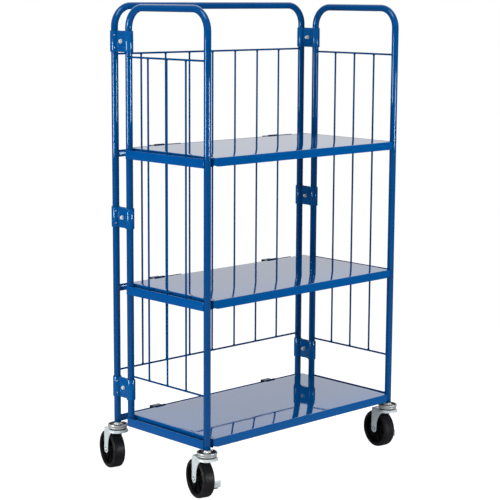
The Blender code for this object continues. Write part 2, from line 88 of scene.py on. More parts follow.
CLAMP_HEIGHT = 0.066
CLAMP_OUTER = 0.0143
CLAMP_INNER = 0.0118
CLAMP_WEB = 0.0030
BOLT_HEAD = 0.0066
WHEEL = 0.0625
WHEEL_HALF_WIDTH = 0.0200
FORK_MIDDLE = 0.0219
TRAIL = 0.044
YAWS = {"front_left": -14, "front_right": -9, "rear_left": -14, "rear_right": -10}
SIDES = {"left": -1, "right": 1}

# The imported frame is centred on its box, so ORIGIN moves these measurements' zero to its place there.
tube_low, tube_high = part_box("back_tube")
ORIGIN = Matrix.Translation(((tube_low.x + tube_high.x) / 2, (tube_low.y + tube_high.y) / 2 - BACK_Y, 0))
X = Vector((1, 0, 0))
Y = Vector((0, 1, 0))
Z = Vector((0, 0, 1))
FLIP = Matrix.Diagonal((-1, 1, 1, 1))
Z_TO_X = Matrix.Rotation(math.radians(90), 4, "Y")
FLAT_TO_YZ = Matrix(((0, 0, 1, 0), (1, 0, 0, 0), (0, 1, 0, 0), (0, 0, 0, 1)))


# ---------------------------------------------------------------- materials


class Shader:
    """A Principled material with helpers for its procedural nodes."""

    def __init__(self, name, roughness, metallic=0.0, **fixed):
        self.material = bpy.data.materials.new(name)
        self.material.use_nodes = True
        self.tree = self.material.node_tree
        self.main = self.tree.nodes["Principled BSDF"]
        self.main.inputs["Roughness"].default_value = roughness
        self.main.inputs["Metallic"].default_value = metallic
        for socket, value in fixed.items():
            self.main.inputs[socket.replace("_", " ")].default_value = value
        self.place = self.tree.nodes.new("ShaderNodeTexCoord").outputs["Object"]

    def add(self, kind, **values):
        """A new node of this kind, with these settings."""
        made = self.tree.nodes.new(kind)
        for key, value in values.items():
            setattr(made, key, value)
        return made

    def join(self, source, target):
        self.tree.links.new(source, target)

    def noise(self, scale, detail, stretch=None):
        """Noise fixed to the piece, stretched along its axes if asked."""
        made = self.add("ShaderNodeTexNoise")
        made.inputs["Scale"].default_value = scale
        made.inputs["Detail"].default_value = detail
        if stretch:
            mapping = self.add("ShaderNodeMapping")
            mapping.inputs["Scale"].default_value = stretch
            self.join(self.place, mapping.inputs["Vector"])
            self.join(mapping.outputs["Vector"], made.inputs["Vector"])
        else:
            self.join(self.place, made.inputs["Vector"])
        return made.outputs["Fac"]

    def ramp(self, value, *stops):
        """Runs between two colours, each given as (position, colour)."""
        made = self.add("ShaderNodeValToRGB")
        for point, (position, colour) in zip(made.color_ramp.elements, stops):
            point.position, point.color = position, (*colour, 1)
        self.join(value, made.inputs["Fac"])
        return made.outputs["Color"]

    def spread(self, value, first, last):
        """Maps the middle of a noise's range to run from first to last."""
        made = self.add("ShaderNodeMapRange")
        made.inputs["From Min"].default_value = 0.3
        made.inputs["From Max"].default_value = 0.7
        made.inputs["To Min"].default_value = first
        made.inputs["To Max"].default_value = last
        self.join(value, made.inputs["Value"])
        return made.outputs["Result"]

    def bump(self, height, strength, distance, below=None):
        """A bump, laid over another one if that is given."""
        made = self.add("ShaderNodeBump")
        made.inputs["Strength"].default_value = strength
        made.inputs["Distance"].default_value = distance
        self.join(height, made.inputs["Height"])
        if below is not None:
            self.join(below, made.inputs["Normal"])
        return made.outputs["Normal"]

    def base(self, colour):
        self.join(colour, self.main.inputs["Base Color"])

    def rough(self, value):
        self.join(value, self.main.inputs["Roughness"])

    def normal(self, value):
        self.join(value, self.main.inputs["Normal"])


def tone(colour, factor):
    """The colour made lighter or darker."""
    return tuple(c * factor for c in colour)


# The blue paint's reflections are slightly blue.
PAINT_TINT = (0.60, 0.80, 0.96, 1.0)


def powder_coat(name, colour, roughness, peel=0.05, gloss=0.4):
    """Powder coat: slightly uneven in colour and gloss, with a fine orange peel."""
    made = Shader(name, roughness, IOR=1.5, Specular_IOR_Level=gloss, Specular_Tint=PAINT_TINT)
    made.base(made.ramp(made.noise(9, 3), (0.3, tone(colour, 0.93)), (0.7, tone(colour, 1.06))))
    made.rough(made.spread(made.noise(30, 3), roughness * 0.8, roughness * 1.25))
    made.normal(made.bump(made.noise(420, 1), peel, 0.0006))
    return made.material


def deck_coat(name, colour, roughness):
    """The shelves' mirror-like powder coat, with the faint waviness of flat sheet."""
    made = Shader(name, roughness, IOR=1.5, Specular_Tint=PAINT_TINT)
    made.base(made.ramp(made.noise(5, 3), (0.3, tone(colour, 0.95)), (0.7, tone(colour, 1.04))))
    made.rough(made.spread(made.noise(14, 4), roughness * 0.7, roughness * 1.5))
    waves = made.bump(made.noise(7, 1), 0.25, 0.0010)
    made.normal(made.bump(made.noise(380, 1), 0.02, 0.0004, waves))
    return made.material


def zinc_plate(name, colour, roughness, metallic):
    """Zinc plate: faint spangle, uneven gloss and fine rubbed scratches."""
    made = Shader(name, roughness, metallic)
    cells = made.add("ShaderNodeTexVoronoi")
    cells.inputs["Scale"].default_value = 420
    made.join(made.place, cells.inputs["Vector"])
    made.base(made.ramp(cells.outputs["Color"], (0.1, tone(colour, 0.86)), (0.9, tone(colour, 1.08))))
    made.rough(made.spread(made.noise(120, 4), roughness * 0.7, roughness * 1.4))
    scratches = made.bump(made.noise(260, 3, (1, 1, 0.12)), 0.06, 0.0003)
    made.normal(made.bump(made.noise(90, 2), 0.04, 0.0008, scratches))
    return made.material


def moulded_black(name, colour, roughness, grain, gloss):
    """Black moulded rubber or plastic with a fine grain and slightly dusty, duller patches."""
    made = Shader(name, roughness, Specular_IOR_Level=gloss)
    made.base(made.ramp(made.noise(45, 4), (0.35, colour), (0.75, tone(colour, 1.9))))
    made.rough(made.spread(made.noise(80, 4), roughness * 0.85, roughness * 1.2))
    made.normal(made.bump(made.noise(grain, 2), 0.15, 0.0004))
    return made.material


FRAME_PAINT = powder_coat("frame_powder_coat", (0.0, 0.042, 0.156), 0.055, peel=0.01, gloss=0.55)
WIRE_PAINT = powder_coat("wire_powder_coat", (0.0, 0.036, 0.128), 0.36, peel=0.02, gloss=0.0)
RAIL_PAINT = powder_coat("rail_powder_coat", (0.0, 0.052, 0.198), 0.11)
CLAMP_PAINT = powder_coat("clamp_powder_coat", (0.0, 0.056, 0.195), 0.10, peel=0.10, gloss=0.5)
# Near-black blue on the hinge eyes and pins: painted shade and dark reflection, far darker than the blue paint
# round it.
HINGE_SHADE_PAINT = powder_coat("hinge_painted_shade", (0.0, 0.012, 0.045), 0.30, gloss=0.2)
DECK_PAINT = deck_coat("deck_powder_coat", (0.0, 0.057, 0.207), 0.04)
ZINC = zinc_plate("zinc_plate", (0.52, 0.57, 0.59), 0.46, metallic=0.35)
BOLT_ZINC = zinc_plate("bolt_zinc_plate", (0.70, 0.72, 0.70), 0.32, metallic=0.5)
HEAD_ZINC = zinc_plate("head_zinc_plate", (0.46, 0.48, 0.48), 0.36, metallic=0.6)
# Near-black zinc for everything inside the head: painted shade for the hollow of the cup.
HEAD_CORE_SHADE_ZINC = zinc_plate("head_core_painted_shade", (0.10, 0.105, 0.11), 0.40, metallic=0.7)
TYRE = moulded_black("black_tyre", (0.0036, 0.0036, 0.0046), 0.42, grain=900, gloss=0.26)
CORE = moulded_black("black_wheel_core", (0.0018, 0.0018, 0.0022), 0.50, grain=500, gloss=0.12)
# Near-black for dark gaps and shaded undersides: painted shade.
SHADOW_BLACK = moulded_black("painted_shade_black", (0.004, 0.004, 0.004), 0.5, grain=400, gloss=0.15)


# ---------------------------------------------------------------- mesh tools


def circle(centre, across, up, radius, sides):
    """A ring of points."""
    turns = [2 * math.pi * i / sides for i in range(sides)]
    return [centre + across * (radius * math.cos(a)) + up * (radius * math.sin(a)) for a in turns]


def loft(bm, rings, cyclic=False, capped=True):
    """Quads between rings with the same number of points, and a face over each end."""
    rows = [[bm.verts.new(point) for point in points] for points in rings]
    pairs = list(zip(rows, rows[1:]))
    if cyclic:
        pairs.append((rows[-1], rows[0]))
    for one, two in pairs:
        for i in range(len(one)):
            j = (i + 1) % len(one)
            bm.faces.new((one[i], one[j], two[j], two[i]))
    if capped and not cyclic:
        bm.faces.new(rows[0])
        bm.faces.new(rows[-1])


def frames_along(path):
    """The point, across and up directions at each point of a path, turning as little as possible."""
    tangents = []
    for i in range(len(path)):
        before = path[max(i - 1, 0)]
        after = path[min(i + 1, len(path) - 1)]
        tangents.append((after - before).normalized())
    across = tangents[0].orthogonal().normalized()
    found = []
    for i, tangent in enumerate(tangents):
        if i:
            across = tangents[i - 1].rotation_difference(tangent) @ across
        found.append((path[i], across, tangent.cross(across)))
    return found


def sweep(bm, path, radii, sides):
    """A closed round bar along a path, with a radius for each point."""
    rings = [circle(p, a, u, r, sides) for (p, a, u), r in zip(frames_along(path), radii)]
    loft(bm, rings)


def rod(bm, start, end, radius, sides=14, chamfer=0.0004):
    """A straight round bar with slightly rounded ends."""
    start, end = Vector(start), Vector(end)
    along = (end - start).normalized()
    path = [start, start + along * chamfer, end - along * chamfer, end]
    sweep(bm, path, [radius - chamfer, radius, radius, radius - chamfer], sides)


def flare(bm, foot, along, wide, slim, length):
    """A weld fillet: wide at its foot and drawn in to the bar it holds."""
    along = Vector(along).normalized()
    path = [Vector(foot) - along * 0.001]
    radii = [wide * 0.9]
    for step in range(6):
        share = step / 5
        path.append(Vector(foot) + along * (length * share))
        radii.append(slim + (wide - slim) * (1 - share) ** 2)
    sweep(bm, path, radii, 14)


def bead(bm, start, end, radius, ripples=7):
    """A run of weld: a bar with ripples and drawn-in ends."""
    start, end = Vector(start), Vector(end)
    steps = ripples * 4
    path = [start.lerp(end, i / steps) for i in range(steps + 1)]
    radii = []
    for i in range(steps + 1):
        edge = min(i, steps - i) / steps
        radii.append(radius * (min(1, 0.45 + edge * 6) + 0.10 * math.cos(2 * math.pi * i / 4)))
    sweep(bm, path, radii, 10)


def upright_bead(bm, x, y, foot, head, radius):
    """A run of weld straight up."""
    bead(bm, (x, y, foot), (x, y, head), radius)


def lathe(bm, profile, sides):
    """Turns (radius, height) points about Z. A closed profile makes a ring."""
    closed = profile[0] == profile[-1]
    points = profile[:-1] if closed else profile
    rings = [circle(Vector((0, 0, height)), X, Y, radius, sides) for radius, height in points]
    loft(bm, rings, cyclic=closed, capped=not closed)


def round_edges(bm, edges, round_by, segments, **settings):
    """Rounds edges with a bevel."""
    settings.update(offset=round_by, segments=segments, affect="EDGES", profile=0.5)
    bmesh.ops.bevel(bm, geom=edges, **settings)


def block(bm, corner, opposite, round_by=0.0006, segments=2):
    """A box with rounded edges."""
    low = Vector([min(a, b) for a, b in zip(corner, opposite)])
    size = Vector([abs(a - b) for a, b in zip(corner, opposite)])
    matrix = Matrix.Translation(low + size / 2) @ Matrix.Diagonal((*size, 1))
    made = bmesh.ops.create_cube(bm, size=1, matrix=matrix)
    edges = {edge for vert in made["verts"] for edge in vert.link_edges}
    round_edges(bm, list(edges), round_by, segments, clamp_overlap=True)


def plate(bm, outline, thickness, matrix, round_by, segments=2):
    """A flat outline in XY given thickness about z = 0, with rounded rims, then put in place."""
    half = thickness / 2
    made = bmesh.new()
    verts = [made.verts.new((x, y, -half)) for x, y in outline]
    face = made.faces.new(verts)
    extruded = bmesh.ops.extrude_face_region(made, geom=[face])["geom"]
    lifted = [found for found in extruded if isinstance(found, bmesh.types.BMVert)]
    bmesh.ops.translate(made, vec=(0, 0, thickness), verts=lifted)
    rims = [edge for edge in made.edges if abs(edge.verts[0].co.z - edge.verts[1].co.z) < 1e-7]
    round_edges(made, rims, round_by, segments)
    bmesh.ops.transform(made, matrix=matrix, verts=made.verts)
    absorb(bm, made)


def absorb(bm, other, matrix=None):
    """Adds another bmesh to this one and frees it."""
    if matrix is not None:
        bmesh.ops.transform(other, matrix=matrix, verts=other.verts)
    mesh = bpy.data.meshes.new("absorbed")
    other.to_mesh(mesh)
    other.free()
    bm.from_mesh(mesh)
    bpy.data.meshes.remove(mesh)


def arc(centre, radius, first, last, steps):
    """Flat points round a centre, between two angles. The radius may be a pair, for an ellipse."""
    across, tall = radius if isinstance(radius, tuple) else (radius, radius)
    angles = [math.radians(first + (last - first) * i / steps) for i in range(steps + 1)]
    return [(centre[0] + across * math.cos(a), centre[1] + tall * math.sin(a)) for a in angles]


def made_by(build, *arguments):
    """A new bmesh from one of the builders below."""
    bm = bmesh.new()
    build(bm, *arguments)
    return bm


SHARP_ANGLE = math.radians(38)


def piece(name, bm, material, body, stands_for=(), matrix=None):
    """A finished piece that rides on a CAD body, in place of the nodes it stands for."""
    bmesh.ops.recalc_face_normals(bm, faces=bm.faces)
    mesh = bpy.data.meshes.new(name)
    bm.to_mesh(mesh)
    bm.free()
    whole = ORIGIN @ matrix if matrix is not None else ORIGIN
    mesh.transform(whole)
    if whole.determinant() < 0:
        mesh.flip_normals()
    mesh.materials.append(material)
    mesh.shade_smooth()
    mesh.set_sharp_from_angle(angle=SHARP_ANGLE)
    obj = bpy.data.objects.new(name, mesh)
    bpy.context.scene.collection.objects.link(obj)
    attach(obj, body)
    if stands_for:
        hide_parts(*stands_for)


# ---------------------------------------------------------------- frames


def u_tube(bm, near, far, top, place):
    """An upside-down U of round tube, open and hollow at the foot of each leg."""
    sides, chamfer, bore_depth, bore_start = 32, 0.0008, 0.040, 0.0004
    path = [(near, LEG_BOTTOM), (near, LEG_BOTTOM + chamfer)]
    path += arc((near + BEND, top - BEND), BEND, 180, 90, 20)
    path += arc((far - BEND, top - BEND), BEND, 90, 0, 20)
    path += [(far, LEG_BOTTOM + chamfer), (far, LEG_BOTTOM)]
    frames = frames_along([Vector(place(*point)) for point in path])
    radii = [TUBE - 0.0005] + [TUBE] * (len(path) - 2) + [TUBE - 0.0005]
    rings = [circle(p, a, u, r, sides) for (p, a, u), r in zip(frames, radii)]
    first, last = frames[0], frames[-1]
    start = [circle(first[0] + Z * rise, *first[1:], BORE, sides) for rise in (bore_depth, bore_start)]
    end = [circle(last[0] + Z * rise, *last[1:], BORE, sides) for rise in (bore_start, bore_depth)]
    loft(bm, start + rings + end)


def wire_panel(bm, ends, heights, uprights, place):
    """Level wires welded between the legs, and upright wires welded to the level ones."""
    for height in heights:
        start, end = Vector(place(ends[0], height, 0)), Vector(place(ends[1], height, 0))
        rod(bm, start, end, WIRE)
        along = (end - start).normalized()
        flare(bm, start, along, 0.0050, WIRE, 0.0060)
        flare(bm, end, -along, 0.0050, WIRE, 0.0060)
    for along in uprights:
        foot = Vector(place(along, heights[0], WIRE_OFFSET))
        head = Vector(place(along, heights[1], WIRE_OFFSET))
        rod(bm, foot - Z * 0.0022, head + Z * 0.0022, WIRE)
        flare(bm, foot + Z * 0.0016, Z, 0.0046, WIRE, 0.0070)
        flare(bm, head - Z * 0.0016, -Z, 0.0046, WIRE, 0.0070)


def evenly(count, pitch, centre=0.0):
    """Places at an even pitch about a centre."""
    return [centre + pitch * (i - (count - 1) / 2) for i in range(count)]


def side_rail(bm, side, low):
    """An angle rail: a flat wall outside the legs, its ledge turned in under the shelf, and its welds."""
    front, rear = SIDE_RAIL_ENDS
    high = low + RAIL_HEIGHT
    outer, inner = side * SIDE_RAIL_OUTER, side * (SIDE_RAIL_OUTER - RAIL_THICK)
    block(bm, (outer, front, low), (inner, rear, high), 0.0007, 3)
    fold = side * (SIDE_RAIL_OUTER - 0.0014)
    block(bm, (fold, front + 0.0098, low), (side * LEDGE_INNER, LEDGE_REAR, low + RAIL_THICK))
    front_leg, rear_leg = side * (HALF_WIDTH + 0.0098), side * (HALF_WIDTH + 0.0104)
    upright_bead(bm, front_leg, FRONT_Y + 0.0070, low + 0.0015, high - 0.0015, 0.0021)
    upright_bead(bm, rear_leg, -0.0066, low + 0.0015, high - 0.0015, 0.0021)
    upright_bead(bm, rear_leg, 0.0040, low + 0.0020, high - 0.0020, 0.0016)


def back_rail(bm, low):
    """A flat rail between the back legs, and its end welds."""
    reach = HALF_WIDTH - TUBE
    front, high = BACK_RAIL_FRONT, low + BACK_RAIL_HEIGHT
    block(bm, (-reach - 0.0015, front, low), (reach + 0.0015, front + RAIL_THICK, high))
    for side in (-1, 1):
        upright_bead(bm, side * (reach + 0.0004), front, low + 0.002, high - 0.002, 0.0020)


def hinge_eyes(bm, low):
    """A strap for each shelf hinge, bent up from the back rail and rolled into an eye."""
    front, axis, foot = BACK_RAIL_FRONT, low + HINGE_RISE, low + 0.012
    strap, eye, bore, overlap, inset = 0.003, 0.005, 0.0031, 0.001, 0.003
    leave = math.degrees(math.asin(strap / eye))
    for start in EYE_STARTS.values():
        outer = arc((HINGE_Y, axis), eye, 0, 360 - leave, 28)
        outer += [(front - strap, axis - strap), (front - strap, foot), (front + overlap, foot)]
        outer += [(front + overlap, axis)]
        inner = arc((HINGE_Y, axis), bore, 0, 360, 28)[:-1]
        strap_with_eye(bm, outer, inner, start, start + EYE_LENGTH)
        weld = Vector((start + inset, front - 0.0015, foot - 0.0005))
        bead(bm, weld, weld + X * (EYE_LENGTH - 2 * inset), 0.0016, 9)


def strap_with_eye(bm, outline, hole, start, end):
    """A bar along X with this outline in YZ and a round hole right through it."""
    solid = bmesh.new()
    plate(solid, outline, end - start, FLAT_TO_YZ, 0.0004)
    bore = bmesh.new()
    rings = [[Vector((x, y, z)) for y, z in hole] for x in (start - end, end - start)]
    loft(bore, rings)
    cut = cut_from(solid, bore)
    absorb(bm, cut, Matrix.Translation(((start + end) / 2, 0, 0)))


def as_object(bm):
    """A bmesh as an object for a Boolean."""
    bmesh.ops.recalc_face_normals(bm, faces=bm.faces)
    mesh = bpy.data.meshes.new("cutting")
    bm.to_mesh(mesh)
    bm.free()
    obj = bpy.data.objects.new("cutting", mesh)
    bpy.context.scene.collection.objects.link(obj)
    return obj


def cut_from(solid, cutter):
    """One bmesh cut by another with an exact Boolean."""
    body, tool = as_object(solid), as_object(cutter)
    modifier = body.modifiers.new("cut", "BOOLEAN")
    modifier.operation = "DIFFERENCE"
    modifier.object = tool
    result = bmesh.new()
    result.from_object(body, bpy.context.evaluated_depsgraph_get())
    for obj in (body, tool):
        mesh = obj.data
        bpy.data.objects.remove(obj, do_unlink=True)
        bpy.data.meshes.remove(mesh)
    return result


def tray(bm, top):
    """A pressed shelf: a deck folded down into four lips, the side lips shallower towards the rear."""
    fold, droop, droop_depth, ripple = 0.0026, 0.0018, 0.12, 0.00007
    front_zone, corner_cut, cut_slope = SHELF_FRONT + 0.0045, SHELF_HALF - 0.0060, 0.9
    columns, rows = 56, 30
    half = SHELF_HALF - fold
    front, rear = SHELF_FRONT + fold, SHELF_REAR - fold

    def sag(x, y):
        near_front = max(0.0, 1 - (y - front) / droop_depth)
        wave = math.sin(x * 9 + 1.3) * math.sin(y * 13 + x * 3)
        return ripple * wave - droop * near_front**2

    def lip_bottom(x, y):
        if y < front_zone:
            return max(0.0, abs(x) - corner_cut) * cut_slope - FRONT_LIP
        share = (y - LIP_TAPER_START) / (SHELF_REAR - LIP_TAPER_START)
        return min(1.0, max(0.0, share)) * (SIDE_LIP - REAR_LIP) - SIDE_LIP

    def grid(drop):
        made = []
        for j in range(rows + 1):
            y = front + (rear - front) * (j / rows) ** 1.5
            line = []
            for i in range(columns + 1):
                x = -half + 2 * half * i / columns
                line.append(bm.verts.new((x, y, top - drop + sag(x, y))))
            made.append(line)
        return made

    def border(made):
        around = [(i, 0) for i in range(columns + 1)]
        around += [(columns, j) for j in range(1, rows + 1)]
        around += [(i, rows) for i in range(columns - 1, -1, -1)]
        around += [(0, j) for j in range(rows - 1, 0, -1)]
        found = []
        for i, j in around:
            out_x = (i == columns) - (i == 0)
            out_y = (j == rows) - (j == 0)
            found.append((made[j][i], out_x, out_y))
        return found

    def fill(made):
        for j in range(rows):
            for i in range(columns):
                bm.faces.new((made[j][i], made[j][i + 1], made[j + 1][i + 1], made[j + 1][i]))

    outside, inside = grid(0), grid(SHEET)
    fill(outside)
    fill(inside)
    edge_out, edge_in = border(outside), border(inside)

    def folded(edge, radius, steps):
        rings = []
        for step in range(1, steps + 1):
            turn = math.radians(90 * step / steps)
            out, fall = radius * math.sin(turn), radius * (1 - math.cos(turn))
            rings.append([bm.verts.new(v.co + Vector((ox * out, oy * out, -fall))) for v, ox, oy in edge])
        return rings

    def lip(ring):
        return [bm.verts.new((v.co.x, v.co.y, top + lip_bottom(v.co.x, v.co.y))) for v in ring]

    outer_rings = [[v for v, _, _ in edge_out], *folded(edge_out, fold, 5)]
    outer_rings.append(lip(outer_rings[-1]))
    inner_rings = [[v for v, _, _ in edge_in], *folded(edge_in, fold - SHEET, 3)]
    inner_rings.append(lip(inner_rings[-1]))
    sequence = outer_rings + inner_rings[::-1]
    for one, two in zip(sequence, sequence[1:]):
        for i in range(len(one)):
            j = (i + 1) % len(one)
            bm.faces.new((one[i], one[j], two[j], two[i]))
    for start in EYE_STARTS.values():
        for offset in LUG_OFFSETS:
            corner = (start + offset, SHELF_REAR - 0.0009, top - 0.0056)
            block(bm, corner, (start + offset + LUG_LENGTH, HINGE_Y - 0.0024, top - 0.0003), 0.0008)


# ---------------------------------------------------------------- corner clamps


def clamp_plate(bm):
    """A pressed plate: half channels round both tubes and a flat web, outward towards +X."""
    face = 0.0005
    lip = math.degrees(math.asin(face / CLAMP_OUTER))
    root = math.degrees(math.asin(CLAMP_WEB / CLAMP_OUTER))
    hollow = math.degrees(math.asin(face / CLAMP_INNER))
    outline = arc((0, BACK_Y), CLAMP_OUTER, 90 - lip, -90 + root, 18)
    outline += arc((0, 0), CLAMP_OUTER, 90 - root, -90 + lip, 18)
    outline += arc((0, 0), CLAMP_INNER, -90 + hollow, 90 - hollow, 18)
    outline += arc((0, BACK_Y), CLAMP_INNER, -90 + hollow, 90 - hollow, 18)
    plate(bm, outline, CLAMP_HEIGHT, Matrix.Identity(4), 0.0005)


def clamp_ribs(bm):
    """Two shallow pressed ribs across the web."""
    for side in (-1, 1):
        height = side * (CLAMP_HEIGHT / 2 - 0.0085)
        steps = (-0.0185, -0.0155, 0, 0.0155, 0.0185)
        path = [Vector((CLAMP_WEB - 0.0008, BACK_Y / 2 + y, height)) for y in steps]
        sweep(bm, path, [0.0006, 0.0019, 0.0021, 0.0019, 0.0006], 12)


def rivet(bm, place, out):
    """A small bright zinc dome: partly a real domed head, partly a painted highlight for the glint seen there.
    """
    radius, dome, sides = 0.0026, 0.0011, 12
    rings = [circle(place - out * 0.0008, Y, Z, radius, sides)]
    for share in (0, 0.35, 0.7, 0.93):
        rings.append(circle(place + out * (dome * share), X, Z, radius * math.cos(math.asin(share)), sides))
    loft(bm, rings)


def clamp_spots(bm):
    """Two bright domes on the channel round the back leg, partly painted highlight."""
    turn = math.radians(-48)
    out = Vector((math.cos(turn), math.sin(turn), 0))
    for rise in (-0.0195, 0.0195):
        rivet(bm, Vector((0, BACK_Y, rise)) + out * (CLAMP_OUTER - 0.0002), out)


def hexagon(bm, radius, low, high):
    """A hexagon head along Z, chamfered at its outer end."""
    flat = radius * math.cos(math.pi / 6)
    lathe(bm, [(radius, low), (radius, high - 0.0010), (flat * 0.99, high)], 6)


def clamp_bolt(bm):
    """A hexagon bolt through the web, with its washers and nut. Its head is on the +X side."""
    seat, shank, washer = 0.0033, 0.0049, 0.0070
    made = bmesh.new()
    lathe(made, [(shank, -0.0132), (shank, 0.0080)], 20)
    rim = [(washer - 0.0002, -0.0003), (washer, 0), (washer, 0.0009), (washer - 0.0004, 0.0013)]
    lathe(made, [(radius, seat + rise) for radius, rise in rim], 28)
    hexagon(made, BOLT_HEAD, seat + 0.0010, seat + 0.0052)
    lathe(made, [(washer, -seat), (washer, -seat - 0.0012)], 28)
    nut = bmesh.new()
    hexagon(nut, BOLT_HEAD, 0.0008, 0.0070)
    absorb(made, nut, Matrix.Translation((0, 0, -seat)) @ Matrix.Rotation(math.pi, 4, "X"))
    absorb(bm, made, Z_TO_X)


# ---------------------------------------------------------------- casters, axle along X, trail along +Y


HEAD_BOTTOM = 0.1436
NUT_SEATS = {"front": 0.0259, "rear": 0.0233}
AXLE_FACE = FORK_MIDDLE + 0.0011
SHEET_STEEL = 0.0022


def caster_core(bm):
    """Inside the head: expander plug, stem, dished floor and kingpin, all in near-black zinc as painted shade
    for the hollow cup.
    """
    floor = HEAD_BOTTOM + 0.0004
    profile = [
        (0.0002, 0.2150), (0.0080, 0.2150), (0.0088, 0.2140), (0.0088, 0.1720), (0.0056, 0.1700),
        (0.0056, 0.1560), (0.0150, 0.1548), (0.0235, 0.1514), (0.0262, 0.1508), (0.0278, 0.1528),
        (0.0287, 0.1552), (0.0288, floor), (0.0060, floor), (0.0060, 0.1302), (0.0050, 0.1296),
        (0.0002, 0.1296),
    ]
    lathe(bm, profile, 40)


def head_band(bm):
    """The bright outer wall of the head: a rolled rim, an upright band, a waist and the race cover."""
    profile = [
        (0.0284, 0.1545), (0.0290, 0.1562), (0.0303, 0.1570), (0.0315, 0.1564), (0.0320, 0.1548),
        (0.0320, 0.1516), (0.0314, 0.1505), (0.0300, 0.1498), (0.0295, 0.1482), (0.0299, 0.1464),
        (0.0301, 0.1448), (0.0294, HEAD_BOTTOM), (0.0280, HEAD_BOTTOM), (0.0284, 0.1545),
    ]
    lathe(bm, profile, 48)


def head_nut(bm):
    """The bright flanged nut in the middle of the cup."""
    lathe(bm, [(0.0130, 0.1550), (0.0130, 0.1562), (0.0118, 0.1572), (0.0057, 0.1573)], 30)
    hexagon(bm, 0.0100, 0.1568, 0.1622)


def ball_race(bm):
    """A black ring with its balls between the head and the fork: painted shade for the gap there."""
    lathe(bm, [(0.0272, 0.1398), (0.0276, 0.1404), (0.0276, 0.1430), (0.0270, HEAD_BOTTOM)], 40)
    for centre in circle(Z * 0.1418, X, Y, 0.0272, 22):
        place = Matrix.Translation(centre)
        bmesh.ops.create_uvsphere(bm, u_segments=8, v_segments=6, radius=0.0013, matrix=place)


def fork_crown(bm):
    """A pressed crown: race seat, rounded shoulder and a thin rolled lower edge."""
    profile = [
        (0.0066, 0.1402), (0.0262, 0.1400), (0.0282, 0.1396), (0.0308, 0.1388), (0.0324, 0.1374),
        (0.0330, 0.1354), (0.0334, 0.1334), (0.0342, 0.1322), (0.0338, 0.1314), (0.0326, 0.1316),
        (0.0316, 0.1332), (0.0306, 0.1352), (0.0266, 0.1366), (0.0066, 0.1372), (0.0066, 0.1402),
    ]
    lathe(bm, profile, 48)


def leg_outline():
    """Trail and height of a fork leg's edge: hollowed in front, round at the axle, straight behind."""
    outline = [(-0.0235, 0.1380), (-0.0262, 0.1345), (-0.0262, 0.1310)]
    outline += arc((-0.012, 0.0700), (0.0425, 0.0600), 90, 6, 16)
    outline += arc((TRAIL, WHEEL), 0.0128, 176, 360, 18)
    outline += [(TRAIL + 0.0126, 0.1290), (TRAIL + 0.0100, 0.1345), (TRAIL + 0.0040, 0.1366)]
    return outline


def fork_legs(bm):
    """Both legs, each with a shallow pressed rib down it, and the bridge behind the crown."""
    for side in (-1, 1):
        x = side * FORK_MIDDLE
        plate(bm, leg_outline(), SHEET_STEEL, Matrix.Translation((x, 0, 0)) @ FLAT_TO_YZ, 0.0007, 3)
        route = ((0.0030, 0.1290), (0.0022, 0.1100), (0.0008, 0.0900), (0, 0.0790))
        spine = [Vector((x + side * 0.0007, TRAIL + along, height)) for along, height in route]
        sweep(bm, spine, [0.0005, 0.0013, 0.0012, 0.0005], 12)
    reach = FORK_MIDDLE + 0.0007
    block(bm, (-reach, 0.012, 0.1328), (reach, TRAIL + 0.0085, 0.1352), 0.0010, 3)
    ends = (-FORK_MIDDLE - 0.0004, 0.0006 - FORK_MIDDLE, FORK_MIDDLE - 0.0006, FORK_MIDDLE + 0.0004)
    rolled = [Vector((x, TRAIL + 0.0100, 0.1335)) for x in ends]
    sweep(bm, rolled, [0.0018, 0.0026, 0.0026, 0.0018], 14)


def mirrored_ring(bm, half, sides):
    """Turns a (radius, distance from the middle) profile and its mirror image about Z."""
    profile = half + [(r, -h) for r, h in half[::-1]]
    lathe(bm, profile + profile[:1], sides)


def wheel_tyre(bm):
    """A flat tread with rounded shoulders and a raised bead round each rim, turned about Z."""
    wide = WHEEL_HALF_WIDTH
    half = [
        (0.0505, 0.0118), (0.0510, wide - 0.0013), (0.0520, wide - 0.0002), (0.0536, wide),
        (0.0545, wide - 0.0006), (0.0575, wide - 0.0004), (0.0598, wide - 0.0012),
        (0.0614, wide - 0.0030), (0.0623, wide - 0.0060), (WHEEL, wide - 0.0095), (WHEEL, 0.0002),
    ]
    mirrored_ring(bm, half, 96)


def wheel_core(bm):
    """A moulded core: rim, recessed web with ribs on both sides, and a long hub."""
    wide = WHEEL_HALF_WIDTH
    half = [
        (0.0507, wide - 0.0023), (0.0488, wide - 0.0017), (0.0470, wide - 0.0025), (0.0460, 0.0130),
        (0.0454, 0.0068), (0.0440, 0.0056), (0.0210, 0.0054), (0.0182, 0.0064), (0.0166, 0.0100),
        (0.0158, wide - 0.0015), (0.0150, wide - 0.0006), (0.0046, wide - 0.0006),
    ]
    mirrored_ring(bm, half, 72)
    ribs = 8
    for side in (-1, 1):
        for i in range(ribs):
            rib = bmesh.new()
            block(rib, (0.0150, -0.0014, side * 0.0050), (0.0462, 0.0014, side * 0.0118))
            absorb(bm, rib, Matrix.Rotation(2 * math.pi * (i + 0.5) / ribs, 4, "Z"))


def axle_bolt(bm, nut_seat):
    """The axle, with a round crimped end at -X and a nut on its seat at +X."""
    made = bmesh.new()
    pin = [(0.0026, -AXLE_FACE - 0.0022), (0.0034, -AXLE_FACE - 0.0014), (0.0040, 0)]
    lathe(made, pin + [(0.0032, nut_seat + 0.0078)], 24)
    nut = bmesh.new()
    hexagon(nut, 0.0066, 0.0, 0.0056)
    absorb(made, nut, Matrix.Translation((0, 0, nut_seat)))
    crimp = [(0.0045, 0.0002), (0.0045, -0.0008), (0.0038, -0.0014), (0.0028, 0)]
    lathe(made, [(radius, rise - AXLE_FACE) for radius, rise in crimp], 24)
    absorb(bm, made, Z_TO_X)


